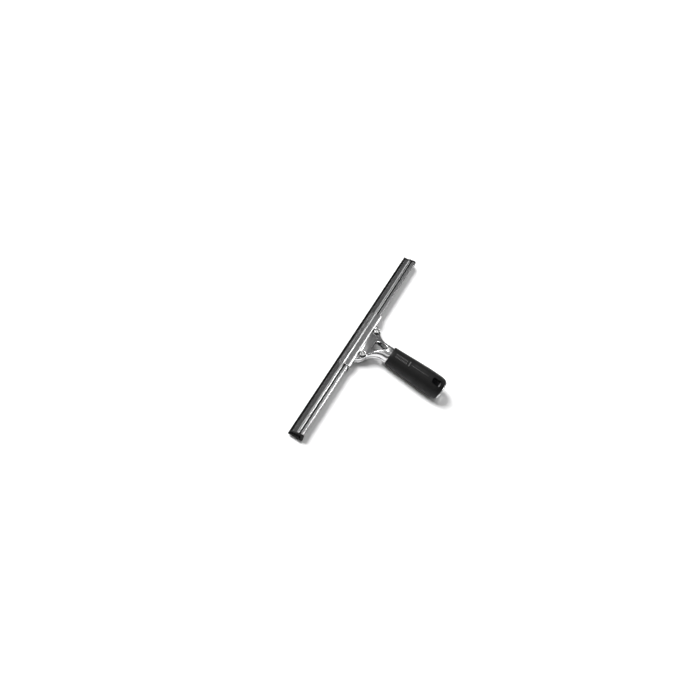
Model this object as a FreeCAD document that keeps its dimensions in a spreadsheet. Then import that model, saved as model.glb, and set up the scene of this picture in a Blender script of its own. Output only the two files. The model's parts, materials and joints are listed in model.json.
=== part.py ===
import FreeCAD, Part
import math
import os
import Sketcher
from FreeCAD import Placement, Rotation, Vector

# Window cleaning squeegee: a rolled steel channel holding a rubber blade, clamped between two
# stamped jaws by two screws, on a hollow handle with a rubber grip and a pole socket.
#
# Every piece is drawn in the plane of the blade: X along the blade, the rubber's edge on Y = 0
# and the handle towards -Y, so "depth" is the distance behind the edge. Z = 0 is the middle of the
# rubber. One placement then lays the whole tool down on its back with Z up.

doc = FreeCAD.newDocument("squeegee")
dims = doc.addObject("Spreadsheet::Sheet", "dims")

FRONT, REAR = 1, -1
LEFT, RIGHT = -1, 1


class Size:
    """A number with the spreadsheet expression that gives it."""

    def __init__(self, value, text):
        self.value = value
        self.text = text

    def __add__(self, other):
        other = as_size(other)
        return Size(self.value + other.value, f"({self.text} + {other.text})")

    def __sub__(self, other):
        other = as_size(other)
        return Size(self.value - other.value, f"({self.text} - {other.text})")

    def __mul__(self, other):
        other = as_size(other)
        return Size(self.value * other.value, f"({self.text} * {other.text})")

    def __truediv__(self, other):
        other = as_size(other)
        return Size(self.value / other.value, f"({self.text} / {other.text})")

    def __neg__(self):
        return self * -1

    __radd__ = __add__
    __rmul__ = __mul__

    def __rsub__(self, other):
        return as_size(other) - self


def as_size(number):
    return number if isinstance(number, Size) else Size(float(number), f"({number})")


row = 0


def size(alias, value):
    """Adds one driving dimension, in millimetres or degrees, to the sheet."""
    global row
    row += 1
    dims.set(f"A{row}", alias.replace("_", " "))
    dims.set(f"B{row}", str(value))
    dims.setAlias(f"B{row}", alias)
    return Size(float(value), f"dims.{alias}")


def outline(name, points):
    """Adds a row of (depth, height) pairs to the sheet."""
    return [(size(f"{name}_depth_{i}", depth), size(f"{name}_height_{i}", height))
            for i, (depth, height) in enumerate(points)]


# ---- driving dimensions -------------------------------------------------------------------------

# blade
CHANNEL_LENGTH = size("channel_length", 341)
CAP_FLANGE = size("cap_flange", 2)
RUBBER_LENGTH = size("rubber_length", 350)
RUBBER_FIT = size("rubber_fit", 0.15)
RUBBER_HALF = size("rubber_half_thickness", 0.95)
BEAD_DEPTH = size("bead_depth", 13.2)
BEAD_RADIUS = size("bead_radius", 2.3)
# outer and inner face of the channel's upper half, from the lip to the spine
CHANNEL_OUTER = outline("channel_outer", [(3.2, 1.9), (8.8, 3.85), (9.6, 4.55), (11.1, 4.55),
                                          (12.7, 3.0), (14.2, 5.2), (17.0, 5.2), (18.2, 4.0)])
CHANNEL_INNER = outline("channel_inner", [(3.2, 1.1), (9.0, 3.0), (9.9, 3.75), (10.8, 3.75),
                                          (12.75, 2.5), (13.2, 2.5), (14.55, 4.4), (16.7, 4.4),
                                          (17.4, 3.7)])
CHANNEL_ROUND = size("channel_round", 0.7)
CAP_OUTLINE = outline("cap", [(0.9, 1.9), (3.2, 2.4), (8.7, 4.4), (9.4, 5.1), (12.6, 5.1),
                              (14.0, 5.7), (17.3, 5.7), (18.7, 4.3)])
TONGUE_FRONT = size("tongue_front", 15.8)
TONGUE_BACK = size("tongue_back", 17.15)
TONGUE_HALF = size("tongue_half_height", 3.5)
TONGUE_LENGTH = size("tongue_length", 9)

# clamp
SLEEVE_LENGTH = size("sleeve_length", 99)
SHEET = size("sheet_thickness", 1.2)
THROUGH_ALL = size("through_cut", 60)
PARTING = size("parting_half_gap", 0.4)
SLEEVE_OUTER = outline("sleeve_outer", [(4.8, 3.9), (8.9, 6.05), (9.9, 6.35), (11.4, 5.95),
                                        (13.6, 6.3), (18.0, 6.8), (19.8, 5.4)])
SLEEVE_INNER = outline("sleeve_inner", [(4.8, 2.68), (8.8, 4.1), (9.4, 4.78), (13.0, 4.85),
                                        (14.0, 5.42), (17.1, 5.42), (18.5, 4.1)])
SLEEVE_ROUND = size("sleeve_round", 1.2)
# neck stations: depth, half width, height above the middle, corner radius, middle's own rise
NECK = [(18.9, 36.0, 5.0, 1.6, 0.0), (22.0, 32.5, 5.0, 2.0, 0.1), (26.5, 29.0, 5.2, 2.2, 0.4),
        (30.0, 23.5, 5.5, 2.6, 0.8), (34.0, 17.5, 6.3, 3.4, 1.3), (40.0, 13.2, 8.2, 5.6, 1.8),
        (47.0, 11.5, 10.0, 8.4, 1.9)]
NECK_END_RADIUS = size("neck_end_radius", 11.2)
NECK_END_CORNER = size("neck_end_corner", 10.4)
FRONT_NECK_GAP = size("front_neck_gap", 0.4)
REAR_NECK_GAP = size("rear_neck_gap", 0.02)
WINDOW_FRONT = size("window_front", 30.5)
WINDOW_BACK = size("window_back", 49)
WINDOW_HALF = size("window_half_width", 7)
REAR_WINDOW_HALF = size("rear_window_half_width", 11.5)
REAR_WINDOW_BACK = size("rear_window_back", 46)
REAR_WINDOW_TAIL = size("rear_window_tail_half_width", 7.5)
WINDOW_TAIL = size("window_tail_half_width", 2.4)
WINDOW_ROUND = size("window_round", 2.1)
SCREW_X = size("screw_offset", 22.2)
SCREW_DEPTH = size("screw_depth", 24.6)
SCREW_RADIUS = size("screw_radius", 2.5)
SCREW_FIT = size("screw_fit", 0.06)
SCREW_HEAD_RADIUS = size("screw_head_radius", 3.7)
SCREW_HEAD_HEIGHT = size("screw_head_height", 2.1)
SCREW_SLOT_WIDTH = size("screw_slot_width", 1.1)
SCREW_SLOT_DEPTH = size("screw_slot_depth", 1.1)
SCREW_TIP = size("screw_tip", -4.6)
WASHER_RADIUS = size("washer_radius", 4.8)
WASHER_THICKNESS = size("washer_thickness", 0.6)
SEAT_RADIUS = size("seat_radius", 5.3)
SEAT_HEIGHT = size("seat_height", 4.5)
SEAT_WALL = size("seat_wall", 0.6)
NUT_RADIUS = size("nut_radius", 4.4)
NUT_TOP = size("nut_top", -0.6)
NUT_BOTTOM = size("nut_bottom", -3.6)

# handle, measured along its own axis from the grip's front face
HANDLE_TILT = size("handle_tilt", 10)
GRIP_DEPTH = size("grip_depth", 55.4)
GRIP_RISE = size("grip_rise", 1.4)
GRIP_LENGTH = size("grip_length", 79)
GRIP_FRONT_RADIUS = size("grip_front_radius", 13.1)
GRIP_BACK_RADIUS = size("grip_back_radius", 15.5)
GRIP_NOSE_ROUND = size("grip_nose_round", 1.0)
GRIP_SWELL = size("grip_swell", 55.3)  # where the grip reaches its full radius
GRIP_TAIL = size("grip_tail", 10.5)
GRIP_SHOULDER = size("grip_shoulder", 3)
GRIP_SHOULDER_RADIUS = size("grip_shoulder_radius", 14.4)
GRIP_TAIL_RADIUS = size("grip_tail_radius", 12.8)
GRIP_TAIL_ROUND = size("grip_tail_round", 20.0)
TUBE_RADIUS = size("tube_radius", 11.2)
TUBE_WALL = size("tube_wall", 1.0)
SOCKET_WALL = size("socket_wall", 1.6)
SOCKET_DEPTH = size("socket_depth", 52)
RING_RADIUS = size("ring_radius", 12.5)
RING_THICKNESS = size("ring_thickness", 1.8)
RING_EDGE = size("ring_edge", 0.6)
RING_STEP = size("ring_step", 0.2)
CORE_NOSE = size("core_nose", 9)
CORE_BACK = size("core_back", 26)
CORE_NOSE_RADIUS = size("core_nose_radius", 9.75)
CORE_NOSE_TOP = size("core_nose_top", 5.5)
RIVET_RADIUS = size("rivet_radius", 1.6)
RIVET_SINK = size("rivet_sink", 0.5)
RIVET_STATION = size("rivet_station", 13)
SLOT_START = size("slot_start", 62)
SLOT_END = size("slot_end", 73)
SLOT_WIDTH = size("slot_width", 7)
SLOT_TURN = size("slot_turn", -18)

# how the tool lies
LAY_ANGLE = size("lay_angle", 10.4)

doc.recompute()

# ---- sketch and feature helpers -----------------------------------------------------------------


def new_body(label):
    body = doc.addObject("PartDesign::Body", label)
    body.Label = label
    return body


def new_sketch(body, name, plane, offset=None, rise=None, turn=None, about=Vector(1, 0, 0)):
    """A sketch on one of the body's origin planes: moved along its normal and up, then turned."""
    sketch = body.newObject("Sketcher::SketchObject", f"{body.Label}_{name}")
    support = [p for p in body.Origin.OriginFeatures if p.Role == plane][0]
    sketch.AttachmentSupport = [(support, "")]
    sketch.MapMode = "FlatFace"
    if turn is not None:
        sketch.AttachmentOffset = Placement(Vector(), Rotation(about, turn.value))
        sketch.setExpression("AttachmentOffset.Rotation.Angle", turn.text)
    if rise is not None:
        sketch.setExpression("AttachmentOffset.Base.y", rise.text)
    if offset is not None:
        sketch.setExpression("AttachmentOffset.Base.z", offset.text)
    return sketch


def fix(sketch, kind, value, *references):
    """Adds one dimension to a sketch and binds it to its expression."""
    index = sketch.addConstraint(Sketcher.Constraint(kind, *references, value.value))
    name = f"{kind}_{index}"
    sketch.renameConstraint(index, name)
    sketch.setExpression(f"Constraints.{name}", value.text)


def fix_point(sketch, curve, end, x, y):
    fix(sketch, "DistanceX", x, -1, 1, curve, end)
    fix(sketch, "DistanceY", y, -1, 1, curve, end)


def join(sketch, count):
    """Joins the last `count` curves end to start in a ring."""
    first = sketch.GeometryCount - count
    for i in range(count):
        following = first + (i + 1) % count
        sketch.addConstraint(Sketcher.Constraint("Coincident", first + i, 2, following, 1))


def add_polygon(sketch, points):
    points = [(as_size(x), as_size(y)) for x, y in points]
    first = sketch.GeometryCount
    corners = [Vector(x.value, y.value, 0) for x, y in points]
    for start, end in zip(corners, corners[1:] + corners[:1]):
        sketch.addGeometry(Part.LineSegment(start, end), False)
    join(sketch, len(points))
    for i, (x, y) in enumerate(points):
        fix_point(sketch, first + i, 1, x, y)


def add_circle(sketch, x, y, radius):
    x, y = as_size(x), as_size(y)
    circle = Part.Circle(Vector(x.value, y.value, 0), Vector(0, 0, 1), radius.value)
    curve = sketch.addGeometry(circle, False)
    fix(sketch, "Radius", radius, curve)
    fix_point(sketch, curve, 3, x, y)


def add_arch(sketch, side, half_width, base, height, radius):
    """A closed arch: straight foot at `base`, two legs and a flat crown with rounded corners."""
    crown = base + height * side
    shoulder = crown - radius * side
    wide = half_width * side
    inset = wide - radius * side
    turn = 0 if side == FRONT else math.pi
    corners = [(wide, base), (wide, shoulder), (inset, crown), (-inset, crown),
               (-wide, shoulder), (-wide, base)]
    spots = [Vector(x.value, y.value, 0) for x, y in corners]

    def corner_arc(x, start):
        circle = Part.Circle(Vector(x.value, shoulder.value, 0), Vector(0, 0, 1), radius.value)
        return Part.ArcOfCircle(circle, turn + start, turn + start + math.pi / 2)

    curves = [Part.LineSegment(spots[0], spots[1]), corner_arc(inset, 0),
              Part.LineSegment(spots[2], spots[3]), corner_arc(-inset, math.pi / 2),
              Part.LineSegment(spots[4], spots[5]), Part.LineSegment(spots[5], spots[0])]
    sketch.addGeometry(curves, False)
    join(sketch, len(curves))
    for curve, (x, y) in enumerate(corners):
        fix_point(sketch, curve, 1, x, y)
    for curve in (1, 3):
        fix(sketch, "Radius", radius, curve)


def extrude(body, kind, sketch, length, midplane=True, backwards=False):
    """A Pad or Pocket of one sketch."""
    feature = body.newObject(f"PartDesign::{kind}", f"{sketch.Name}_{kind}")
    feature.Profile = sketch
    feature.SideType = "Symmetric" if midplane else "One side"
    feature.Reversed = backwards
    feature.setExpression("Length", as_size(length).text)
    body.Tip = feature
    return feature


def spin(body, sketch):
    """A full revolution about the sketch's horizontal axis."""
    feature = body.newObject("PartDesign::Revolution", f"{sketch.Name}_turned")
    feature.Profile = sketch
    feature.ReferenceAxis = (sketch, ["H_Axis"])
    feature.Angle = 360
    body.Tip = feature
    return feature


def loft(body, kind, sketches):
    feature = body.newObject(f"PartDesign::{kind}Loft", f"{sketches[0].Name}_{kind}")
    feature.Profile = sketches[0]
    feature.Sections = sketches[1:]
    body.Tip = feature
    return feature


def round_edges(body, radius, wanted):
    """Rounds the edges of the body so far whose middle point passes the test."""
    doc.recompute()
    base = body.Tip
    names = []
    for i, edge in enumerate(base.Shape.Edges, 1):
        middle = edge.valueAt((edge.FirstParameter + edge.LastParameter) / 2)
        if wanted(edge, middle):
            names.append(f"Edge{i}")
    if not names:
        raise RuntimeError(f"{body.Label}: no edge to round")
    fillet = body.newObject("PartDesign::Fillet", f"{body.Label}_round_{len(body.Group)}")
    fillet.Base = (base, names)
    fillet.setExpression("Radius", radius.text)
    body.Tip = fillet


def runs_along(edge, direction):
    tangent = edge.tangentAt(edge.FirstParameter)
    straight = edge.Curve.TypeId == "Part::GeomLine"
    return straight and abs(tangent.dot(direction)) > 0.999


def is_ring(edge, station, radius):
    """True for the circle round the Y axis at this station with this radius."""
    circle = edge.Curve.TypeId == "Part::GeomCircle"
    return (circle and abs(edge.Curve.Radius - radius) < 0.01
            and abs(edge.Curve.Center.y + station) < 0.01)


# ---- blade --------------------------------------------------------------------------------------


def mirrored(half):
    """(Y, Z) points of a half outline and then its mirror image, back to the start's depth."""
    upper = [(-depth, height) for depth, height in half]
    lower = [(-depth, -height) for depth, height in reversed(half)]
    return upper + lower


def make_rubber_blade():
    """Flat strip with a round bead along its back edge."""
    body = new_body("rubber_blade")
    strip = new_sketch(body, "strip", "YZ_Plane")
    add_polygon(strip, [(-BEAD_DEPTH, -RUBBER_HALF), (0, -RUBBER_HALF),
                        (0, RUBBER_HALF), (-BEAD_DEPTH, RUBBER_HALF)])
    extrude(body, "Pad", strip, RUBBER_LENGTH)
    bead = new_sketch(body, "bead", "YZ_Plane")
    add_circle(bead, -BEAD_DEPTH, 0, BEAD_RADIUS)
    extrude(body, "Pad", bead, RUBBER_LENGTH)
    return body


def make_blade_channel():
    """Rolled profile: two sloping lips, a ridge, a crease and the hollow spine."""
    body = new_body("blade_channel")
    section = new_sketch(body, "section", "YZ_Plane")
    outer = mirrored(CHANNEL_OUTER)
    inner = mirrored(CHANNEL_INNER)
    add_polygon(section, outer + inner[::-1])
    extrude(body, "Pad", section, CHANNEL_LENGTH)
    rounded = [(-depth.value, height.value) for depth, height in CHANNEL_OUTER[2:]]

    def on_outer_corner(edge, middle):
        return runs_along(edge, Vector(1, 0, 0)) and any(
            math.hypot(middle.y - y, abs(middle.z) - z) < 0.05 for y, z in rounded)

    round_edges(body, CHANNEL_ROUND, on_outer_corner)
    return body


def make_end_cap(label, side):
    """Flange over the channel's end, slotted for the rubber, with a tongue inside the spine."""
    body = new_body(label)
    joint_x = CHANNEL_LENGTH / 2 * side
    flange = new_sketch(body, "flange", "YZ_Plane", joint_x)
    add_polygon(flange, mirrored(CAP_OUTLINE))
    extrude(body, "Pad", flange, CAP_FLANGE, midplane=False, backwards=side == LEFT)
    slot = new_sketch(body, "rubber_slot", "YZ_Plane")
    half = RUBBER_HALF + RUBBER_FIT
    add_polygon(slot, [(-BEAD_DEPTH, -half), (1, -half), (1, half), (-BEAD_DEPTH, half)])
    extrude(body, "Pocket", slot, RUBBER_LENGTH * 2)
    bead_hole = new_sketch(body, "bead_hole", "YZ_Plane")
    add_circle(bead_hole, -BEAD_DEPTH, 0, BEAD_RADIUS + RUBBER_FIT)
    extrude(body, "Pocket", bead_hole, RUBBER_LENGTH * 2)
    tongue = new_sketch(body, "tongue", "YZ_Plane", joint_x)
    add_polygon(tongue, [(-TONGUE_BACK, -TONGUE_HALF), (-TONGUE_FRONT, -TONGUE_HALF),
                         (-TONGUE_FRONT, TONGUE_HALF), (-TONGUE_BACK, TONGUE_HALF)])
    extrude(body, "Pad", tongue, TONGUE_LENGTH, midplane=False, backwards=side == RIGHT)
    return body


# ---- clamp --------------------------------------------------------------------------------------

neck_stations = [tuple(size(f"neck_{name}_{i}", value)
                       for name, value in zip(("depth", "half_width", "height", "corner", "rise"),
                                              station))
                 for i, station in enumerate(NECK)]
doc.recompute()


def neck_sections(body, side, name, wall):
    """Arch sketches along the neck, moved inwards by the wall."""
    sketches = []
    for i, (depth, half_width, height, corner, rise) in enumerate(neck_stations):
        sketch = new_sketch(body, f"{name}_{i}", "XZ_Plane", depth)
        foot = rise + (PARTING - wall) * side
        add_arch(sketch, side, half_width - wall, foot, height - PARTING, corner - wall)
        sketches.append(sketch)
    # the last section lies in the plane of the grip's front face
    gap = FRONT_NECK_GAP if side == FRONT else REAR_NECK_GAP
    end = new_sketch(body, f"{name}_end", "XZ_Plane", GRIP_DEPTH - gap, GRIP_RISE, HANDLE_TILT)
    add_arch(end, side, NECK_END_RADIUS - wall, (PARTING - wall) * side,
             NECK_END_RADIUS - PARTING, NECK_END_CORNER - wall)
    return sketches + [end]


def make_jaw(label, side):
    """Stamped shell: half a sleeve round the channel, running into a dished neck."""
    body = new_body(label)
    nothing = as_size(0)
    loft(body, "Additive", neck_sections(body, side, "outside", nothing))
    loft(body, "Subtractive", neck_sections(body, side, "inside", SHEET))

    sleeve = new_sketch(body, "sleeve", "YZ_Plane")
    outer = [(-depth, height * side) for depth, height in SLEEVE_OUTER]
    inner = [(-depth, height * side) for depth, height in SLEEVE_INNER]
    back_outer = (-SLEEVE_OUTER[-1][0], PARTING * side)
    back_inner = (-SLEEVE_INNER[-1][0], PARTING * side)
    add_polygon(sleeve, outer + [back_outer, back_inner] + inner[::-1])
    extrude(body, "Pad", sleeve, SLEEVE_LENGTH)
    folds = [(-depth.value, height.value) for depth, height in SLEEVE_OUTER[1:-1]]

    def on_fold(edge, middle):
        return runs_along(edge, Vector(1, 0, 0)) and any(
            math.hypot(middle.y - y, middle.z * side - z) < 0.05 for y, z in folds)

    round_edges(body, SLEEVE_ROUND, on_fold)

    window = new_sketch(body, "window", "XY_Plane")
    half, back, tail = ((WINDOW_HALF, WINDOW_BACK, WINDOW_TAIL) if side == FRONT else
                        (REAR_WINDOW_HALF, REAR_WINDOW_BACK, REAR_WINDOW_TAIL))
    shoulder = WINDOW_FRONT + WINDOW_HALF
    add_polygon(window, [(-tail, -back), (tail, -back),
                         (half, -shoulder), (half, -WINDOW_FRONT),
                         (-half, -WINDOW_FRONT), (-half, -shoulder)])
    extrude(body, "Pocket", window, THROUGH_ALL)

    def on_window_corner(edge, middle):
        inside = abs(middle.x) < half.value + 0.1
        between = WINDOW_FRONT.value - 0.1 < -middle.y < back.value + 0.1
        return runs_along(edge, Vector(0, 0, 1)) and inside and between

    round_edges(body, WINDOW_ROUND, on_window_corner)

    if side == FRONT:
        # a cup pressed down round each screw
        cups = new_sketch(body, "cups", "XY_Plane", SEAT_HEIGHT)
        for edge in (LEFT, RIGHT):
            add_circle(cups, SCREW_X * edge, -SCREW_DEPTH, SEAT_RADIUS + SEAT_WALL)
        extrude(body, "Pad", cups, SHEET, midplane=False, backwards=True)
        seats = new_sketch(body, "seats", "XY_Plane", SEAT_HEIGHT)
        for edge in (LEFT, RIGHT):
            add_circle(seats, SCREW_X * edge, -SCREW_DEPTH, SEAT_RADIUS)
        extrude(body, "Pocket", seats, THROUGH_ALL, midplane=False, backwards=True)

    holes = new_sketch(body, "screw_holes", "XY_Plane")
    for edge in (LEFT, RIGHT):
        add_circle(holes, SCREW_X * edge, -SCREW_DEPTH, SCREW_RADIUS + SCREW_FIT)
    extrude(body, "Pocket", holes, THROUGH_ALL)
    return body


def make_screw(label, side):
    """Slotted cheese-head screw, its head above the washer and its shank down to the nut."""
    body = new_body(label)
    x = SCREW_X * side
    under_head = SEAT_HEIGHT + WASHER_THICKNESS
    head = new_sketch(body, "head", "XY_Plane", under_head)
    add_circle(head, x, -SCREW_DEPTH, SCREW_HEAD_RADIUS)
    extrude(body, "Pad", head, SCREW_HEAD_HEIGHT, midplane=False)
    shank = new_sketch(body, "shank", "XY_Plane", under_head)
    add_circle(shank, x, -SCREW_DEPTH, SCREW_RADIUS)
    extrude(body, "Pad", shank, under_head - SCREW_TIP, midplane=False, backwards=True)
    crown = under_head + SCREW_HEAD_HEIGHT
    slot = new_sketch(body, "slot", "XY_Plane", crown)
    half = SCREW_SLOT_WIDTH / 2
    reach = SCREW_HEAD_RADIUS + 1
    add_polygon(slot, [(x - reach, -SCREW_DEPTH - half), (x + reach, -SCREW_DEPTH - half),
                       (x + reach, -SCREW_DEPTH + half), (x - reach, -SCREW_DEPTH + half)])
    extrude(body, "Pocket", slot, SCREW_SLOT_DEPTH, midplane=False)
    return body


def make_washer(label, side):
    body = new_body(label)
    ring = new_sketch(body, "ring", "XY_Plane", SEAT_HEIGHT)
    add_circle(ring, SCREW_X * side, -SCREW_DEPTH, WASHER_RADIUS)
    add_circle(ring, SCREW_X * side, -SCREW_DEPTH, SCREW_RADIUS + SCREW_FIT)
    extrude(body, "Pad", ring, WASHER_THICKNESS, midplane=False)
    return body


def make_nut(label, side):
    """Hexagon nut welded inside the rear jaw."""
    body = new_body(label)
    hexagon = new_sketch(body, "hexagon", "XY_Plane", NUT_BOTTOM)
    corners = [math.radians(60 * i) for i in range(6)]
    add_polygon(hexagon, [(SCREW_X * side + NUT_RADIUS * round(math.cos(a), 6),
                           -SCREW_DEPTH + NUT_RADIUS * round(math.sin(a), 6)) for a in corners])
    add_circle(hexagon, SCREW_X * side, -SCREW_DEPTH, SCREW_RADIUS + SCREW_FIT)
    extrude(body, "Pad", hexagon, NUT_TOP - NUT_BOTTOM, midplane=False)
    return body


# ---- handle: each piece is turned about its own Y axis, from the grip's front face at Y = 0 -------


def drill_for_rivets(body):
    hole = new_sketch(body, "rivet_hole", "YZ_Plane")
    add_circle(hole, -RIVET_STATION, 0, RIVET_RADIUS)
    extrude(body, "Pocket", hole, THROUGH_ALL)


def turned(label, points):
    """A piece turned from (station, radius) points."""
    body = new_body(label)
    profile = new_sketch(body, "profile", "YZ_Plane")
    add_polygon(profile, [(-as_size(station), radius) for station, radius in points])
    spin(body, profile)
    return body


def cut_lock_slot(body):
    slot = new_sketch(body, "lock_slot", "XY_Plane", turn=SLOT_TURN, about=Vector(0, 1, 0))
    add_polygon(slot, [(-SLOT_WIDTH / 2, -SLOT_END), (SLOT_WIDTH / 2, -SLOT_END),
                       (SLOT_WIDTH / 2, -SLOT_START), (-SLOT_WIDTH / 2, -SLOT_START)])
    extrude(body, "Pocket", slot, 30, midplane=False, backwards=True)


def make_handle_tube():
    inner = TUBE_RADIUS - TUBE_WALL
    body = turned("handle_tube", [(0, inner), (0, TUBE_RADIUS), (GRIP_LENGTH, TUBE_RADIUS),
                                  (GRIP_LENGTH, inner)])
    cut_lock_slot(body)
    drill_for_rivets(body)
    return body


def make_pole_socket():
    """Plastic liner whose bore takes the tip of an extension pole."""
    outer = TUBE_RADIUS - TUBE_WALL
    start = GRIP_LENGTH - SOCKET_DEPTH
    body = turned("pole_socket", [(start, outer - SOCKET_WALL), (start, outer),
                                  (GRIP_LENGTH, outer), (GRIP_LENGTH, outer - SOCKET_WALL)])
    cut_lock_slot(body)
    return body


def make_handle_core():
    """Solid plug that joins the rear jaw's neck to the tube."""
    body = turned("handle_core", [(-CORE_NOSE, 0), (-CORE_NOSE, CORE_NOSE_RADIUS),
                                  (0, CORE_NOSE_RADIUS), (0, TUBE_RADIUS - TUBE_WALL),
                                  (CORE_BACK, TUBE_RADIUS - TUBE_WALL), (CORE_BACK, 0)])
    flat = new_sketch(body, "flat", "XY_Plane", CORE_NOSE_TOP)
    wide = CORE_NOSE_RADIUS + 1
    add_polygon(flat, [(-wide, 0), (wide, 0), (wide, CORE_NOSE + 1), (-wide, CORE_NOSE + 1)])
    extrude(body, "Pocket", flat, CORE_NOSE_RADIUS, midplane=False, backwards=True)
    drill_for_rivets(body)
    return body


def make_rubber_grip():
    """Moulded sleeve, thicker towards its rounded end."""
    body = turned("rubber_grip", [
        (0, TUBE_RADIUS), (0, GRIP_FRONT_RADIUS), (GRIP_SWELL, GRIP_BACK_RADIUS),
        (GRIP_LENGTH - GRIP_TAIL, GRIP_BACK_RADIUS),
        (GRIP_LENGTH - GRIP_SHOULDER, GRIP_SHOULDER_RADIUS), (GRIP_LENGTH, GRIP_TAIL_RADIUS),
        (GRIP_LENGTH, TUBE_RADIUS)])
    for radius, station, ring in (
            (GRIP_NOSE_ROUND, 0, GRIP_FRONT_RADIUS),
            (GRIP_TAIL_ROUND, GRIP_LENGTH.value - GRIP_TAIL.value, GRIP_BACK_RADIUS)):
        round_edges(body, radius, lambda edge, middle: is_ring(edge, station, ring.value))
    cut_lock_slot(body)
    return body


def make_grip_end_ring():
    end = GRIP_LENGTH + RING_THICKNESS
    inner = TUBE_RADIUS - TUBE_WALL - SOCKET_WALL
    return turned("grip_end_ring", [(GRIP_LENGTH, inner), (GRIP_LENGTH, RING_RADIUS - RING_STEP),
                                    (GRIP_LENGTH + RING_EDGE, RING_RADIUS),
                                    (end - RING_EDGE, RING_RADIUS),
                                    (end, RING_RADIUS - RING_EDGE), (end, inner)])


def make_core_rivets():
    """Two rivets through the tube into the core, one from each side."""
    body = new_body("core_rivets")
    shafts = new_sketch(body, "shafts", "YZ_Plane")
    add_circle(shafts, -RIVET_STATION, 0, RIVET_RADIUS)
    extrude(body, "Pad", shafts, TUBE_RADIUS * 2 - RIVET_SINK)
    return body


# ---- assembly -----------------------------------------------------------------------------------

blade_plane_parts = [
    make_rubber_blade(),
    make_blade_channel(),
    make_end_cap("end_cap_left", LEFT),
    make_end_cap("end_cap_right", RIGHT),
    make_jaw("front_jaw", FRONT),
    make_jaw("rear_jaw", REAR),
    make_screw("clamp_screw_left", LEFT),
    make_screw("clamp_screw_right", RIGHT),
    make_washer("screw_washer_left", LEFT),
    make_washer("screw_washer_right", RIGHT),
    make_nut("clamp_nut_left", LEFT),
    make_nut("clamp_nut_right", RIGHT),
]
handle_parts = [
    make_handle_core(),
    make_handle_tube(),
    make_pole_socket(),
    make_rubber_grip(),
    make_grip_end_ring(),
    make_core_rivets(),
]
doc.recompute()

handle_place = Placement(Vector(0, -GRIP_DEPTH.value, GRIP_RISE.value),
                         Rotation(Vector(1, 0, 0), HANDLE_TILT.value))
lay = Placement(Vector(0, 0, 0), Rotation(Vector(1, 0, 0), -LAY_ANGLE.value))
for part in blade_plane_parts:
    part.Placement = lay
for part in handle_parts:
    part.Placement = lay.multiply(handle_place)
doc.recompute()

# the origin goes to the middle of the underside
parts = blade_plane_parts + handle_parts
box = Part.makeCompound([part.Shape for part in parts]).optimalBoundingBox(False)
to_origin = Placement(Vector(-box.Center.x, -box.Center.y, -box.ZMin), Rotation())
for part in parts:
    part.Placement = to_origin.multiply(part.Placement)
doc.recompute()

for item in doc.Objects:
    if {"Invalid", "Error"} & set(item.State):
        raise RuntimeError(f"{item.Label} failed: {item.State}")
os.makedirs("parts", exist_ok=True)
for part in parts:
    shape = part.Shape
    if shape.isNull() or not shape.isValid() or not shape.Solids:
        raise RuntimeError(f"{part.Label} has no valid solid")
    print(f"{part.Label}: {len(shape.Solids)} solid, {shape.Volume:.0f} mm3")
    shape.exportStep(f"parts/{part.Label}.step")
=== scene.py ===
import bmesh
import bpy
import json
import math
from mathutils import Matrix, Vector


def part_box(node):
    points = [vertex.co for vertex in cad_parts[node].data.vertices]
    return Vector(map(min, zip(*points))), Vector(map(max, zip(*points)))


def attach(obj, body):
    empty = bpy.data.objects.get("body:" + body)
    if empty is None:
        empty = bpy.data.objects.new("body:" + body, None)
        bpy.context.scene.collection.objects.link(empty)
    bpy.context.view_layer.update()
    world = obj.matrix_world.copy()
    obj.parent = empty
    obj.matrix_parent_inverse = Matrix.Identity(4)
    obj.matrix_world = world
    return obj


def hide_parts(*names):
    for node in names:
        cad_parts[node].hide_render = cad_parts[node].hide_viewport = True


# The looks of a window cleaning squeegee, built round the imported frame.
# Lengths are in metres. A number times MM is in millimetres.

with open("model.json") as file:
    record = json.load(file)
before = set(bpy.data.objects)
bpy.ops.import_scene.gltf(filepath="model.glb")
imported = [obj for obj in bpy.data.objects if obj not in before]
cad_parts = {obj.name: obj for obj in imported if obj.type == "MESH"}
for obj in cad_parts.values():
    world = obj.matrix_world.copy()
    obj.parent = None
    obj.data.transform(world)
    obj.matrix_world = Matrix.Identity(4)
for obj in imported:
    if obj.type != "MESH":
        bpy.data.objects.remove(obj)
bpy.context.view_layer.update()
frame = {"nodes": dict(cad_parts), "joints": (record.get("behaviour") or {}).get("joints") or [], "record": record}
MM = 0.001

# ---- places read from the frame ---------------------------------------------------------------

SOCKET_MIDDLE = 53.9 * MM  # from the grip's front face back to the middle of the pole socket
EDGE_HALF = 0.95 * MM  # half the thickness of the rubber's working edge

mounts = {mount["name"]: mount for mount in frame["record"]["mounts"]}
joints = {joint["name"]: joint for joint in frame["joints"]}
pole_mount = mounts["pole_socket"]
clamp_normal = Vector(joints["jaw_open"]["axis"]).normalized()
blade_forward = clamp_normal.cross(Vector((1, 0, 0)))
handle_back = Vector(pole_mount["axis"]).normalized()
blade_low, blade_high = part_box("rubber_blade")


def frame_matrix(origin, along, up):
    """Local X across, local Y along and local Z up, placed at an origin."""
    along, up = along.normalized(), up.normalized()
    across = along.cross(up).normalized()
    up = across.cross(along)
    turn = Matrix((across, along, up)).transposed().to_4x4()
    return Matrix.Translation(origin) @ turn


# handle space: the grip's front face is at the origin, and Y points out of it to the blade
handle_origin = Vector(pole_mount["pos_m"]) - handle_back * SOCKET_MIDDLE
handle_space = frame_matrix(handle_origin, -handle_back, Vector((0, 0, 1)))
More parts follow.
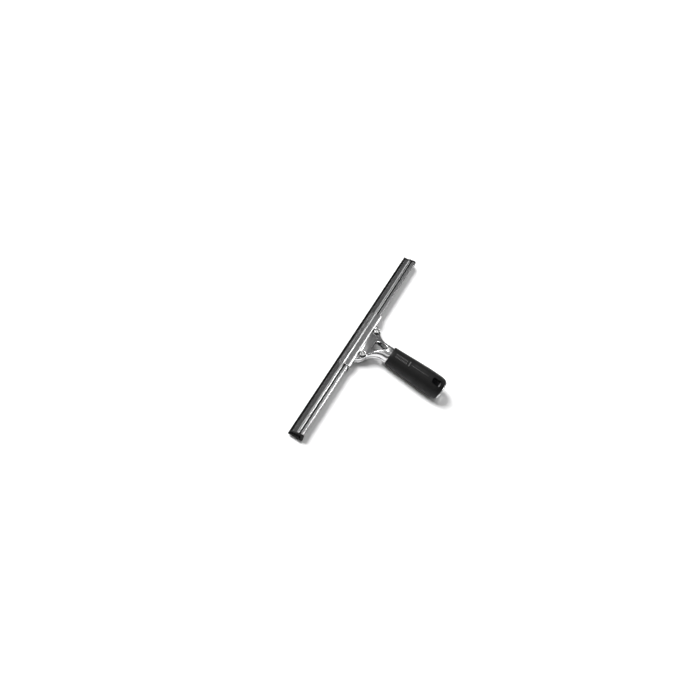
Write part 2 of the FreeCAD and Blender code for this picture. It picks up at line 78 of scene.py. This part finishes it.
# blade space: X along the blade, Y towards the rubber's edge, Z out of the front jaw
edge_middle = Vector((0, blade_high[1], blade_low[2]))
edge_origin = edge_middle - Vector((0, clamp_normal.y, -clamp_normal.z)) * EDGE_HALF
blade_space = frame_matrix(edge_origin, blade_forward, clamp_normal)

# ---- shader maths -----------------------------------------------------------------------------

MILLIMETRES = (1000, 1000, 1000)  # a scale per metre that turns metres into millimetres
MIX_COLOURS, MIX_RESULT = (6, 7), 2  # sockets of a Mix node that mixes colours


class Value:
    """A shader socket that takes part in Python expressions."""

    def __init__(self, finish, socket):
        self.finish, self.socket = finish, socket

    def math(self, operation, *others):
        node = self.finish.node("Math", {"operation": operation}, (self,) + others)
        return Value(self.finish, node.outputs[0])

    def __add__(self, other):
        return self.math("ADD", other)

    def __sub__(self, other):
        return self.math("SUBTRACT", other)

    def __rsub__(self, other):
        return (self * -1).math("ADD", other)

    def __mul__(self, other):
        return self.math("MULTIPLY", other)

    __radd__ = __add__
    __rmul__ = __mul__

    def band(self, low, high):
        """0 below low, 1 above high, smooth between."""
        node = self.finish.node("MapRange", {"interpolation_type": "SMOOTHSTEP"},
                                (self, low, high, 0.0, 1.0))
        return Value(self.finish, node.outputs[0])


class Finish:
    """One material, built round its Principled shader."""

    def __init__(self, name, **constants):
        self.material = bpy.data.materials.new(name)
        self.material.use_nodes = True
        self.tree = self.material.node_tree
        self.shader = self.tree.nodes["Principled BSDF"]
        for socket_name, constant in constants.items():
            self.shader.inputs[socket_name.replace("_", " ")].default_value = constant
        self.place = self.node("TexCoord").outputs["Object"]

    def node(self, kind, settings=None, values=()):
        """Adds a node: its settings first, then the values or links of its sockets."""
        node = self.tree.nodes.new(f"ShaderNode{kind}")
        for name, setting in (settings or {}).items():
            setattr(node, name, setting)
        pairs = values.items() if isinstance(values, dict) else enumerate(values)
        for key, value in pairs:
            if isinstance(value, Value):
                value = value.socket
            if isinstance(value, bpy.types.NodeSocket):
                self.tree.links.new(value, node.inputs[key])
            else:
                node.inputs[key].default_value = value
        return node

    def scaled(self, vector, scale):
        node = self.node("VectorMath", {"operation": "MULTIPLY"}, (vector, scale))
        return node.outputs[0]

    def stretched(self, per_metre, turn=(0, 0, 0), centre=(0, 0, 0)):
        """Object coordinates, moved to a centre, turned, then scaled along each axis."""
        moved = self.node("Mapping", {}, {"Vector": self.place,
                                          "Location": tuple(-c for c in centre)})
        turned = self.node("Mapping", {}, {"Vector": moved.outputs[0], "Rotation": turn})
        return self.scaled(turned.outputs[0], per_metre)

    def blade_millimetres(self):
        """Object coordinates turned into blade space, in millimetres."""
        back = blade_space.inverted()
        turned = self.node("Mapping", {}, {"Vector": self.place, "Rotation": back.to_euler(),
                                           "Location": back.translation})
        return self.scaled(turned.outputs[0], MILLIMETRES)

    def noise(self, per_metre, detail=3.0, roughness=0.5, **mapping):
        where = self.stretched(per_metre, **mapping)
        node = self.node("TexNoise", {}, {"Vector": where, "Scale": 1.0, "Detail": detail,
                                          "Roughness": roughness})
        return Value(self, node.outputs[0])

    def cells(self, per_metre):
        where = self.stretched(per_metre)
        node = self.node("TexVoronoi", {"feature": "F1"}, {"Vector": where, "Scale": 1.0})
        return Value(self, node.outputs["Distance"])

    def mix(self, mask, first, second):
        """A colour between two, each a tuple or a link."""
        node = self.node("Mix", {"data_type": "RGBA"}, {"Factor": mask})
        for index, colour in zip(MIX_COLOURS, (first, second)):
            if isinstance(colour, tuple):
                node.inputs[index].default_value = (*colour, 1)
            else:
                self.tree.links.new(colour, node.inputs[index])
        return node.outputs[MIX_RESULT]

    def connect(self, name, value):
        socket = value.socket if isinstance(value, Value) else value
        self.tree.links.new(socket, self.shader.inputs[name])

    def bump(self, height, distance, strength=1.0):
        node = self.node("Bump", {}, {"Strength": strength, "Distance": distance,
                                      "Height": height})
        self.connect("Normal", node.outputs[0])


# ---- finishes ---------------------------------------------------------------------------------
# A pattern's scale is per metre along each axis, so a low number draws it out along that axis.

SCRATCHED = (0.70, 0.78)  # noise levels between which a hairline scratch comes in
BARE_CHANNEL, BARE_JAW, BARE_TURNED, BARE_RUBBER = 0.10, 0.13, 0.12, 0.42  # least roughness
# the channel's groove behind the ridge, where shade is painted, in millimetres
CREASE_DEPTH = 12.7  # behind the rubber's edge
CREASE_FADE = (0.7, 1.6)  # to either side, where the painted shade thins out
CREASE_INSIDE = (4.1, 4.5)  # from the blade's middle plane, where the painted shade stops
# near-black colour painted into the groove as painted shade
CREASE_PAINTED_SHADE = (0.02, 0.02, 0.02)
RING_RATE = 30  # radians of the machined ring pattern per millimetre of radius
DULL_STEEL = (0.60, 0.60, 0.605)
BRIGHT_CHANNEL, BRIGHT_JAW = (0.78, 0.78, 0.785), (0.75, 0.75, 0.755)


def grey(level):
    return (level, level, level)


def rolled_steel():
    """Polished channel: drawn lines along its length, hazy patches, hairline scratches, and painted shade
    darkening the groove behind the ridge.
    """
    finish = Finish("rolled_steel", Metallic=1.0)
    lines = finish.noise((5, 1500, 1500), detail=2)
    haze = finish.noise((9, 50, 50), detail=3)
    inside = finish.node("SeparateXYZ", {}, (finish.blade_millimetres(),))
    depth = Value(finish, inside.outputs["Y"]) * -1
    height = Value(finish, inside.outputs["Z"])
    # a band along the groove, where the steel is painted near black as painted shade
    beside = (depth - CREASE_DEPTH).math("ABSOLUTE").band(*CREASE_FADE)
    outside = height.math("ABSOLUTE").band(*CREASE_INSIDE)
    painted_crease_shade = (1 - beside) * (1 - outside)
    hairs = finish.noise((12, 2200, 2200), detail=1, turn=(0, 0, 0.12)).band(*SCRATCHED)
    steel = finish.mix(haze * 0.6 + lines * 0.4, DULL_STEEL, BRIGHT_CHANNEL)
    finish.connect("Base Color", finish.mix(painted_crease_shade, steel, CREASE_PAINTED_SHADE))
    wear = haze * 0.06 + lines * 0.06 + hairs * 0.08
    finish.connect("Roughness", wear + painted_crease_shade * 0.3 + BARE_CHANNEL)
    finish.bump(lines * 0.6 + hairs * 0.4, distance=0.003 * MM)
    return finish.material


def pressed_steel():
    """Polished stamping: faint polishing haze in two directions and handling marks."""
    finish = Finish("pressed_steel", Metallic=1.0)
    haze = finish.noise((40, 60, 60), detail=4, roughness=0.6)
    polish = finish.noise((14, 1400, 900), detail=2, turn=(0, 0, 0.25))
    hairs = finish.noise((16, 1900, 900), detail=1, turn=(0.2, 0, -0.8)).band(*SCRATCHED)
    finish.connect("Base Color", finish.mix(haze, DULL_STEEL, BRIGHT_JAW))
    finish.connect("Roughness", haze * 0.12 + polish * 0.05 + hairs * 0.08 + BARE_JAW)
    finish.bump(polish * 0.5 + hairs * 0.4, distance=0.004 * MM)
    return finish.material


def turned_steel(name, centre, axis_turn, dark=0.50, light=0.70):
    """Machined face: fine rings about the centre."""
    finish = Finish(name, Metallic=1.0)
    where = finish.stretched(MILLIMETRES, turn=axis_turn, centre=centre)
    flat = finish.scaled(where, (1, 1, 0))
    radius = finish.node("VectorMath", {"operation": "LENGTH"}, (flat,)).outputs["Value"]
    rings = (Value(finish, radius) * RING_RATE).math("SINE") * 0.5 + 0.5
    grime = finish.noise((400, 400, 400), detail=4)
    finish.connect("Base Color", finish.mix(grime, grey(dark), grey(light)))
    finish.connect("Roughness", grime * 0.2 + rings * 0.08 + BARE_TURNED)
    finish.bump(rings, distance=0.004 * MM)
    return finish.material


def blade_rubber():
    """Smooth natural rubber with extrusion lines and a little dried dust."""
    finish = Finish("blade_rubber", Specular_IOR_Level=0.08)
    lines = finish.noise((8, 1500, 1500), detail=2)
    dust = finish.noise((60, 260, 260), detail=6, roughness=0.65).band(0.52, 0.75)
    finish.connect("Base Color", finish.mix(dust, grey(0.002), grey(0.007)))
    finish.connect("Roughness", dust * 0.2 + lines * 0.1 + BARE_RUBBER)
    finish.bump(lines + dust * 0.4, distance=0.03 * MM)
    return finish.material


def grip_rubber(name, dark, light, roughness):
    """Moulded rubber: fine pebbled skin, rubbed smoother on the high patches."""
    finish = Finish(name, Specular_IOR_Level=0.19)
    pebbles = finish.cells((1400, 1400, 1400))
    grain = finish.noise((2500, 2500, 2500), detail=2)
    worn = finish.noise((45, 60, 60), detail=4).band(0.42, 0.68)
    dust = finish.noise((500, 500, 500), detail=5, roughness=0.7).band(0.6, 0.8)
    finish.connect("Base Color", finish.mix(dust * 0.6 + worn * 0.4, dark, light))
    finish.connect("Roughness", roughness - worn * 0.16 + dust * 0.1 + grain * 0.06)
    finish.bump(pebbles * 0.8 + grain * 0.3, distance=0.07 * MM, strength=0.8)
    return finish.material


def moulded_plastic(name, dark, light, roughness):
    """Injection-moulded plastic with a fine spark-eroded texture."""
    finish = Finish(name, Specular_IOR_Level=0.12)
    spark = finish.noise((3200, 3200, 3200), detail=3)
    tone = finish.noise((120, 120, 120), detail=4)
    finish.connect("Base Color", finish.mix(tone, dark, light))
    finish.connect("Roughness", spark * 0.15 + tone * 0.1 + roughness)
    finish.bump(spark, distance=0.02 * MM)
    return finish.material


def pale_floor():
    finish = Finish("pale_floor", Roughness=0.9)
    tone = finish.noise((3, 3, 3), detail=2)
    finish.connect("Base Color", finish.mix(tone, grey(0.86), grey(0.88)))
    return finish.material


channel_steel = rolled_steel()
jaw_steel = pressed_steel()
blade_black = blade_rubber()
grip_black = grip_rubber("grip_rubber", grey(0.004), grey(0.011), roughness=0.52)
# the ribs are painted far lighter than the grip: partly rubbed wear, partly a painted highlight where the raised
# marks catch the light
rib_wear_and_highlight = grip_rubber("ribs_wear_and_painted_highlight", grey(0.070), grey(0.20), roughness=0.40)
cap_black = moulded_plastic("cap_plastic", grey(0.004), grey(0.010), roughness=0.42)
inner_plastic = moulded_plastic("socket_plastic", (0.030, 0.030, 0.032), (0.05, 0.05, 0.052),
                                roughness=0.45)
# turns that lay a turned face's rings flat on the jaw and on the grip's end
jaw_turn = (math.atan2(clamp_normal.y, clamp_normal.z), 0, 0)
end_turn = (math.pi / 2, 0, 0)

# ---- mesh helpers -----------------------------------------------------------------------------

SMOOTH_ANGLE = 35  # degrees: a sharper edge than this is shaded as an edge
WELD = 1e-7
CAD_WELD = 0.002 * MM
FLAT_ANGLE = 0.5  # degrees between triangles that count as one face
ROUNDED_ANGLE = 25  # degrees: a sharper edge than this is rounded
EDGE_SEGMENTS = 3


def finished(name, mesh, material, body, slot, *nodes, smooth_angle=SMOOTH_ANGLE):
    """Turns a bmesh into a piece that rides on a body and stands for CAD nodes."""
    data = bpy.data.meshes.new(name)
    bmesh.ops.recalc_face_normals(mesh, faces=mesh.faces)
    mesh.to_mesh(data)
    mesh.free()
    data.shade_smooth()
    data.set_sharp_from_angle(angle=math.radians(smooth_angle))
    data.materials.append(material)
    piece = bpy.data.objects.new(name, data)
    bpy.context.scene.collection.objects.link(piece)
    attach(piece, body)
    if nodes:
        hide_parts(*nodes)
    return piece


def turned_shape(profile, steps, space):
    """Spins (station, radius) points about local Y, where a station is a distance down Y."""
    mesh = bmesh.new()
    ring = [mesh.verts.new((0, -station, radius)) for station, radius in profile]
    edges = [mesh.edges.new(pair) for pair in zip(ring, ring[1:])]
    bmesh.ops.spin(mesh, geom=ring + edges, cent=(0, 0, 0), axis=(0, 1, 0), dvec=(0, 0, 0),
                   angle=math.tau, steps=steps, use_merge=True, use_duplicate=False)
    bmesh.ops.remove_doubles(mesh, verts=mesh.verts, dist=WELD)
    bmesh.ops.transform(mesh, matrix=space, verts=mesh.verts)
    return mesh


def rounded_block(size, corner, segments=EDGE_SEGMENTS):
    """A box with every edge rounded, in its own bmesh."""
    mesh = bmesh.new()
    bmesh.ops.create_cube(mesh, size=1.0)
    bmesh.ops.scale(mesh, vec=size, verts=mesh.verts)
    bmesh.ops.bevel(mesh, geom=list(mesh.edges), offset=corner, offset_type="OFFSET",
                    segments=segments, profile=0.5, affect="EDGES", material=-1)
    return mesh


def add_into(target, part, matrix):
    """Moves one bmesh's faces into another through a throwaway mesh."""
    data = bpy.data.meshes.new("part")
    bmesh.ops.transform(part, matrix=matrix, verts=part.verts)
    part.to_mesh(data)
    part.free()
    target.from_mesh(data)
    bpy.data.meshes.remove(data)


def cut(piece, cutter_mesh, place):
    """Cuts a piece with a placed solid and keeps the result as the piece's own mesh."""
    data = bpy.data.meshes.new("cutter")
    bmesh.ops.transform(cutter_mesh, matrix=place, verts=cutter_mesh.verts)
    cutter_mesh.to_mesh(data)
    cutter_mesh.free()
    cutter = bpy.data.objects.new("cutter", data)
    bpy.context.scene.collection.objects.link(cutter)
    boolean = piece.modifiers.new("cut", "BOOLEAN")
    boolean.object, boolean.operation, boolean.solver = cutter, "DIFFERENCE", "EXACT"
    bpy.context.view_layer.update()
    evaluated = piece.evaluated_get(bpy.context.evaluated_depsgraph_get())
    result = bpy.data.meshes.new_from_object(evaluated)
    piece.modifiers.remove(boolean)
    piece.data = result
    bpy.data.objects.remove(cutter)
    result.set_sharp_from_angle(angle=math.radians(SMOOTH_ANGLE))


def softened_copy(name, node, material, body, slot, width):
    """A copy of a CAD node with its coplanar triangles joined and its sharp edges rounded."""
    mesh = bmesh.new()
    mesh.from_mesh(frame["nodes"][node].data)
    bmesh.ops.remove_doubles(mesh, verts=mesh.verts, dist=CAD_WELD)
    bmesh.ops.dissolve_limit(mesh, angle_limit=math.radians(FLAT_ANGLE), verts=mesh.verts,
                             edges=mesh.edges)
    piece = finished(name, mesh, material, body, slot, node, smooth_angle=40)
    edge_round = piece.modifiers.new("edge_round", "BEVEL")
    edge_round.width, edge_round.segments, edge_round.profile = width, EDGE_SEGMENTS, 0.5
    edge_round.limit_method, edge_round.angle_limit = "ANGLE", math.radians(ROUNDED_ANGLE)
    edge_round.use_clamp_overlap, edge_round.harden_normals = False, True


# ---- grip -------------------------------------------------------------------------------------
# A station is the distance from the grip's front face back along the handle.

GRIP_LENGTH = 79 * MM
GRIP_TAIL = 10.5 * MM  # length of the rounded end
TUBE_RADIUS = 11.22 * MM
END_RADIUS = 12.7 * MM
NECK_RADIUS, PALM_SWELL = 13.1, 2.4  # millimetres
PALM_SHARE = 0.70  # how far down the grip the swell is full
FRONT_EDGE = [(0, 12.3 * MM), (0.25 * MM, 12.8 * MM), (0.9 * MM, 13.1 * MM)]
GRIP_STEPS, SIDE_STEPS, TAIL_STEPS = 96, 24, 12
TAIL_BEND = 7.2  # degrees per tail step
MARK_TURN = math.radians(-18)  # where the slot and the ribs sit, round the handle
SLOT_STATION = 67.5 * MM
SLOT_SIZE, SLOT_CORNER, SLOT_SEGMENTS = (8.4 * MM, 12.4 * MM, 14 * MM), 2.0 * MM, 5
# ribs in millimetres: each one's size across, along and out, and its corner
THUMB_RIB, STOP_RIB, SMALL_RIB = (2.3, 0.95, 1.6), (7.2, 1.5, 1.9), (1.0, 0.9, 1.4)
THUMB_CORNER, STOP_CORNER, SMALL_CORNER = 0.4, 0.6, 0.35
THUMB_RIBS, SMALL_RIBS = 9, 12  # how many stand in a row
THUMB_START, THUMB_PITCH, THUMB_ROW = 6.5, 1.95, 1.7  # the row's distance from the middle line
STOP_STATION, SMALL_START, SMALL_PITCH = 26.5, 30, 2.2


def grip_radius(station):
    """Outer radius: swelling smoothly from the neck to the palm."""
    share = min(station / (PALM_SHARE * GRIP_LENGTH), 1.0)
    swell = share * share * (3 - 2 * share) * 0.5 + share * 0.5
    return (NECK_RADIUS + PALM_SWELL * swell) * MM


def on_grip(station, lift=0.0, across=0.0):
    """Matrix on the grip's skin at the marked side, local Z out of it."""
    around = MARK_TURN + across / grip_radius(station)
    turn = Matrix.Rotation(around, 4, "Y")
    return handle_space @ turn @ Matrix.Translation((0, -station, grip_radius(station) + lift))


def make_grip():
    """Hollow sleeve over the tube, with a hanging slot cut into the marked side."""
    body_end = GRIP_LENGTH - GRIP_TAIL
    full = grip_radius(body_end)
    profile = [(0, TUBE_RADIUS), *FRONT_EDGE]
    for step in range(1, SIDE_STEPS + 1):
        station = step * body_end / SIDE_STEPS
        profile.append((station, grip_radius(station)))
    for step in range(1, TAIL_STEPS + 1):
        bend = math.radians(TAIL_BEND * step)
        profile.append((body_end + GRIP_TAIL * math.sin(bend),
                        END_RADIUS + (full - END_RADIUS) * math.cos(bend)))
    profile += [(GRIP_LENGTH, END_RADIUS - 0.2 * MM), (GRIP_LENGTH, TUBE_RADIUS),
                (0, TUBE_RADIUS)]
    mesh = turned_shape(profile, GRIP_STEPS, handle_space)
    grip = finished("grip_sleeve", mesh, grip_black, "handle", "grip_rubber", "rubber_grip")
    cut(grip, rounded_block(SLOT_SIZE, SLOT_CORNER, SLOT_SEGMENTS), on_grip(SLOT_STATION))


def add_rib(mesh, size, corner, station, lift, across=0.0):
    """Adds a rounded rib that is part sunk in the grip's skin. All sizes are millimetres."""
    block = rounded_block([length * MM for length in size], corner * MM)
    add_into(mesh, block, on_grip(station * MM, lift * MM, across * MM))


def make_grip_ribs():
    """Two rows of short thumb ribs, a wide stop rib, then a line of small ribs to the slot."""
    mesh = bmesh.new()
    for row in (-1, 1):
        for i in range(THUMB_RIBS):
            add_rib(mesh, THUMB_RIB, THUMB_CORNER, THUMB_START + THUMB_PITCH * i, lift=-0.25,
                    across=row * THUMB_ROW)
    add_rib(mesh, STOP_RIB, STOP_CORNER, STOP_STATION, lift=-0.25)
    for i in range(SMALL_RIBS):
        add_rib(mesh, SMALL_RIB, SMALL_CORNER, SMALL_START + SMALL_PITCH * i, lift=-0.3)
    finished("grip_ribs", mesh, rib_wear_and_highlight, "handle", "grip_rubber")


make_grip()
make_grip_ribs()

# ---- blade ------------------------------------------------------------------------------------

# one side of the strip as (depth behind the edge, height), in millimetres
RUBBER_SIDE = [(0, 0.90), (0.06, 0.95), (2.2, 0.95), (2.5, 0.86), (9.9, 0.86), (10.2, 0.95),
               (11.1, 0.95)]
BEAD_MIDDLE, BEAD_RADIUS = 13.2, 2.3  # millimetres
BEAD_ANGLES = range(28, 153, 12)  # degrees round the bead, from the strip to its back
CHANNEL_EDGE, CAP_EDGE = 0.12 * MM, 0.25 * MM  # how far sharp edges are rounded


def make_rubber():
    """Strip with a square working edge, a thinner web and the round back bead."""
    length = blade_high[0] - blade_low[0]
    bead = [(BEAD_MIDDLE - BEAD_RADIUS * math.cos(math.radians(angle)),
             BEAD_RADIUS * math.sin(math.radians(angle))) for angle in BEAD_ANGLES]
    side = RUBBER_SIDE + bead
    outline = side + [(depth, -height) for depth, height in reversed(side)]
    mesh = bmesh.new()
    ring = [mesh.verts.new((-length / 2, -depth * MM, height * MM)) for depth, height in outline]
    face = mesh.faces.new(ring)
    pushed = bmesh.ops.extrude_face_region(mesh, geom=[face])
    verts = [item for item in pushed["geom"] if isinstance(item, bmesh.types.BMVert)]
    bmesh.ops.translate(mesh, vec=(length, 0, 0), verts=verts)
    bmesh.ops.transform(mesh, matrix=blade_space, verts=mesh.verts)
    finished("squeegee_rubber", mesh, blade_black, "rubber", "blade_rubber", "rubber_blade",
             smooth_angle=25)


make_rubber()
softened_copy("end_cap_l", "end_cap_left", cap_black, "left_cap", "black_plastic", CAP_EDGE)
softened_copy("end_cap_r", "end_cap_right", cap_black, "right_cap", "black_plastic", CAP_EDGE)
softened_copy("channel_profile", "blade_channel", channel_steel, "channel", "steel_channel",
              CHANNEL_EDGE)

# ---- clamp ------------------------------------------------------------------------------------

JAW_EDGE = 0.25 * MM
# screw stations, from the joint's place out along the clamp's normal
TIP, HEAD_UNDER = -4.6 * MM, 5.1 * MM
HEAD_RIM, HEAD_DOME = 0.95, 1.15  # heights of the head's two parts, in millimetres
SHANK_RADIUS, HEAD_RADIUS = 2.5 * MM, 3.55 * MM
TIP_CHAMFER, HEAD_CHAMFER = 0.5 * MM, 0.15 * MM
DOME_STEPS, SCREW_STEPS = 8, 64
DOME_INSET, DOME_TOP = 0.22, 0.74  # shares of the head's radius
DRIVER_SLOT, DRIVER_CORNER, DRIVER_SEGMENTS = (10 * MM, 1.35 * MM, 2.8 * MM), 0.12 * MM, 2
DRIVER_HEIGHT = 2.2 * MM  # middle of the driver slot's cutter above the head's underside

softened_copy("front_shell", "front_jaw", jaw_steel, "front_jaw", "steel_jaw", JAW_EDGE)
softened_copy("rear_shell", "rear_jaw", jaw_steel, "handle", "steel_jaw", JAW_EDGE)


def make_screw(side, slot_turn):
    """Domed slotted screw in place of the plain one."""
    centre = Vector(joints[f"{side}_screw_turn"]["pos_m"])
    space = frame_matrix(centre, -clamp_normal, Vector((1, 0, 0)))
    profile = [(TIP, 0), (TIP, SHANK_RADIUS - TIP_CHAMFER), (TIP + TIP_CHAMFER, SHANK_RADIUS),
               (HEAD_UNDER, SHANK_RADIUS), (HEAD_UNDER, HEAD_RADIUS - HEAD_CHAMFER),
               (HEAD_UNDER + HEAD_CHAMFER, HEAD_RADIUS),
               (HEAD_UNDER + HEAD_RIM * MM, HEAD_RADIUS)]
    for step in range(1, DOME_STEPS):
        bend = math.radians(90 / DOME_STEPS * step)
        profile.append((HEAD_UNDER + (HEAD_RIM + HEAD_DOME * math.sin(bend)) * MM,
                        HEAD_RADIUS * (1 - DOME_INSET * (1 - math.cos(bend)))))
    top = HEAD_UNDER + (HEAD_RIM + HEAD_DOME) * MM
    profile += [(top, HEAD_RADIUS * DOME_TOP), (top, 0)]
    mesh = turned_shape(profile, SCREW_STEPS, space)
    material = turned_steel(f"screw_steel_{side}", centre, jaw_turn, dark=0.30, light=0.62)
    screw = finished(f"slotted_screw_{side}", mesh, material, f"{side}_screw",
                     "steel_fastener", f"clamp_screw_{side}")
    place = (frame_matrix(centre, blade_forward, clamp_normal)
             @ Matrix.Rotation(slot_turn, 4, "Z")
             @ Matrix.Translation((0, 0, HEAD_UNDER + DRIVER_HEIGHT)))
    cut(screw, rounded_block(DRIVER_SLOT, DRIVER_CORNER, DRIVER_SEGMENTS), place)


make_screw("left", slot_turn=math.radians(20))
make_screw("right", slot_turn=math.radians(75))

# ---- CAD nodes that stay ----------------------------------------------------------------------

kept_finishes = {
    "handle_tube": jaw_steel,
    "grip_end_ring": turned_steel("ring_steel", Vector(pole_mount["pos_m"]), end_turn),
    "pole_socket": inner_plastic,
    "handle_core": inner_plastic,
    "core_rivets": jaw_steel,
}
for side in ("left", "right"):
    centre = Vector(joints[f"{side}_screw_turn"]["pos_m"])
    # the washers are painted near black as painted shade, a dark ring round each screw head
    kept_finishes[f"screw_washer_{side}"] = turned_steel(f"washer_painted_shade_{side}", centre,
                                                        jaw_turn, dark=0.02, light=0.06)
    kept_finishes[f"clamp_nut_{side}"] = turned_steel(f"nut_steel_{side}", centre, jaw_turn)
for node, material in kept_finishes.items():
    part = frame["nodes"][node]
    part.data.materials.clear()
    part.data.materials.append(material)

# ---- floor, light and camera ------------------------------------------------------------------

FLOOR_HALF, DOME_RADIUS = 12, 11
SUN_DISTANCE = 5
# the surround's grey level at the sine of a height above the horizon
AIR_LEVELS = ((0.0, 0.07), (0.50, 0.09), (0.67, 0.17), (0.78, 0.35), (0.85, 0.10), (1.0, 0.06))


def staged(name, mesh, material):
    """Turns a bmesh into a part of the stage."""
    data = bpy.data.meshes.new(name)
    mesh.to_mesh(data)
    mesh.free()
    data.materials.append(material)
    prop = bpy.data.objects.new(name, data)
    bpy.context.scene.collection.objects.link(prop)
    return prop


def make_floor():
    mesh = bmesh.new()
    bmesh.ops.create_grid(mesh, x_segments=1, y_segments=1, size=FLOOR_HALF)
    staged("floor", mesh, pale_floor())


def make_backdrop():
    """White dome that only the camera sees, behind the floor's far edge."""
    mesh = bmesh.new()
    bmesh.ops.create_uvsphere(mesh, u_segments=48, v_segments=24, radius=DOME_RADIUS)
    bmesh.ops.reverse_faces(mesh, faces=mesh.faces)
    white = Finish("white_backdrop", Base_Color=(0, 0, 0, 1), Emission_Color=(1, 1, 1, 1),
                   Emission_Strength=1.0, Specular_IOR_Level=0.0)
    dome = staged("backdrop", mesh, white.material)
    dome.visible_diffuse = dome.visible_glossy = dome.visible_shadow = False
    dome.visible_transmission = dome.visible_volume_scatter = False


def facing(lamp, place, aim):
    """Puts a lamp in place, aims it and hides it from the camera."""
    lamp.location = place
    lamp.rotation_euler = (Vector(aim) - Vector(place)).to_track_quat("-Z", "Y").to_euler()
    lamp.visible_camera = False
    bpy.context.scene.collection.objects.link(lamp)


def softbox(name, place, aim, width, depth, watts):
    light = bpy.data.lights.new(name, "AREA")
    light.shape, light.size, light.size_y, light.energy = "RECTANGLE", width, depth, watts
    facing(bpy.data.objects.new(name, light), place, aim)


def broad_key(name, toward, spread, strength):
    """Even light from one side of the sky, so that the whole floor stays white."""
    light = bpy.data.lights.new(name, "SUN")
    light.energy, light.angle = strength, math.radians(spread)
    facing(bpy.data.objects.new(name, light), Vector(toward) * SUN_DISTANCE, (0, 0, 0))


def studio_air():
    """Dim surround: dark at the horizon and overhead, with a greyer band between them."""
    world = bpy.data.worlds.new("studio")
    world.use_nodes = True
    tree = world.node_tree
    place = tree.nodes.new("ShaderNodeTexCoord")
    split = tree.nodes.new("ShaderNodeSeparateXYZ")
    ramp = tree.nodes.new("ShaderNodeValToRGB")
    tree.links.new(place.outputs["Generated"], split.inputs[0])
    tree.links.new(split.outputs["Z"], ramp.inputs[0])
    for position, level in AIR_LEVELS[1:-1]:
        ramp.color_ramp.elements.new(position)
    for element, (position, level) in zip(ramp.color_ramp.elements, AIR_LEVELS):
        element.position = position
        element.color = (level, level, level, 1)
    tree.links.new(ramp.outputs[0], tree.nodes["Background"].inputs["Color"])
    bpy.context.scene.world = world


def make_camera():
    """Looks down at a point along a heading, clockwise from Y, and rolls about its own axis."""
    heading, down, roll = math.radians(92.03), math.radians(51.53), math.radians(35.82)
    distance = 1.0856
    aim = Vector((-0.0155, 0.0597, -0.0014))
    forward = Vector((math.sin(heading) * math.cos(down), math.cos(heading) * math.cos(down),
                      -math.sin(down)))
    data = bpy.data.cameras.new("camera")
    data.lens, data.sensor_width = 43.15, 36
    data.clip_start, data.clip_end = 0.01, 100
    camera = bpy.data.objects.new("camera", data)
    level = forward.to_track_quat("-Z", "Y").to_matrix().to_4x4()
    camera.matrix_world = (Matrix.Translation(aim - forward * distance) @ level
                           @ Matrix.Rotation(roll, 4, "Z"))
    bpy.context.scene.collection.objects.link(camera)
    bpy.context.scene.camera = camera


make_floor()
make_backdrop()
studio_air()
# a key has the direction towards it, and a softbox has its place and the point it faces
broad_key("broad_key", (-0.06, 0.68, 0.73), spread=32, strength=5.4)
broad_key("front_fill", (-0.66, 0.10, 0.74), spread=25, strength=0.12)
softbox("ridge_softbox", (0.88, 0.15, 1.46), (0, 0.05, 0), width=0.38, depth=0.30, watts=4.6)
softbox("overhead_strip", (0.08, -0.04, 1.60), (0, -0.02, 0), width=0.06, depth=0.6, watts=1.7)
softbox("handle_card", (0.85, -0.92, 0.58), (0, 0.04, 0), width=0.46, depth=0.26, watts=1.6)
softbox("edge_card", (0.85, 1.05, 0.10), (0, 0.06, 0.01), width=0.7, depth=0.08, watts=0.25)
make_camera()
bpy.context.scene.view_settings.view_transform = "Standard"
